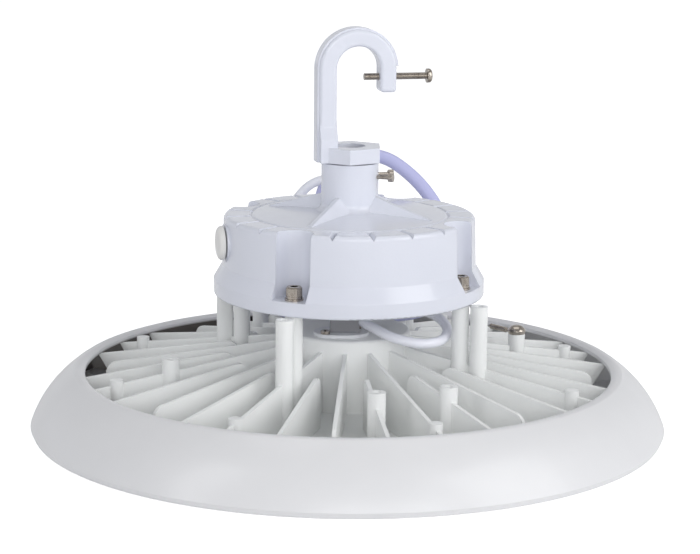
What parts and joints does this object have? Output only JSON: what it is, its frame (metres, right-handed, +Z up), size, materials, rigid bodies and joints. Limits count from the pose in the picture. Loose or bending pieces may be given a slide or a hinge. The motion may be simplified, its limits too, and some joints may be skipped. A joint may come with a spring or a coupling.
{
  "type": "high bay light",
  "caption": "Round finned high bay light with a bell-shaped rim, cast driver housing, hanging hook with a gate screw, and coiled supply and dimming cables.",
  "frame": {"origin": "Centre of the plane of the skirt's bottom rim", "axes": "+Z up along the lamp's axis to the hook, -Y to the front, +X to the right"},
  "size_m": [0.35, 0.35, 0.2202],
  "materials": {
    "fin_white": "satin powder coat, slightly greenish white",
    "skirt_grey": "glossy light grey enamel",
    "housing_white": "glossy cool white powder coat",
    "nickel": "nickel plated steel",
    "steel_wire": "bare stranded steel",
    "white_board": "white solder mask",
    "led_yellow": "phosphor coated packages",
    "frosted_lens": "frosted translucent",
    "gasket_grey": "soft silicone",
    "driver_case": "plain drawn case",
    "terminal_plastic": "moulded",
    "surge_blue": "moulded",
    "gland_plastic": "white polyamide",
    "black_seal": "moulded rubber",
    "cream_plug": "moulded cream plastic",
    "lavender_sheath": "flexible lavender sheath",
    "white_sheath": "flexible white sheath",
    "tie_plastic": "nylon",
    "lead_insulation": "single core insulation"
  },
  "bodies": {
    "lamp": {"bezel_ring": "housing_white", "bezel_screws": "nickel", "board_screws": "nickel", "cable_ties": "tie_plastic", "cap_screws": "nickel", "cover_gasket": "gasket_grey", "cover_screws": "nickel", "dimming_cable": "white_sheath", "dimming_coil": "white_sheath", "dimming_gland": "gland_plastic", "dimming_leads": "lead_insulation", "driver_housing": "housing_white", "driver_module": "driver_case", "entry_plate": "gland_plastic", "entry_screws": "nickel", "entry_seal": "black_seal", "ferrules": "nickel", "flat_washers": "nickel", "heat_sink": "fin_white", "hook": "housing_white", "hook_nipple": "nickel", "housing_cover": "housing_white", "housing_lug": "nickel", "input_cable": "lavender_sheath", "input_coil": "lavender_sheath", "input_gland": "gland_plastic", "input_leads": "lead_insulation", "led_board": "white_board", "leds": "led_yellow", "lens_cover": "frosted_lens", "lens_gasket": "gasket_grey", "lock_screws": "nickel", "outlet_fitting": "gland_plastic", "output_cable": "white_sheath", "plug_seal": "gasket_grey", "post_lug": "nickel", "post_lug_screw": "nickel", "safety_wire": "steel_wire", "side_plug": "cream_plug", "skirt": "skirt_grey", "skirt_screws": "nickel", "spring_washers": "nickel", "surge_protector": "surge_blue", "terminal_block": "terminal_plastic"},
    "gate": {"gate_screw": "nickel"}
  },
  "joints": [
    {"name": "gate_advance", "type": "slide", "parent": "lamp", "child": "gate", "axis": [0.9744, 0.225, 0], "range_m": [-0.0155, 0.014]}
  ]
}
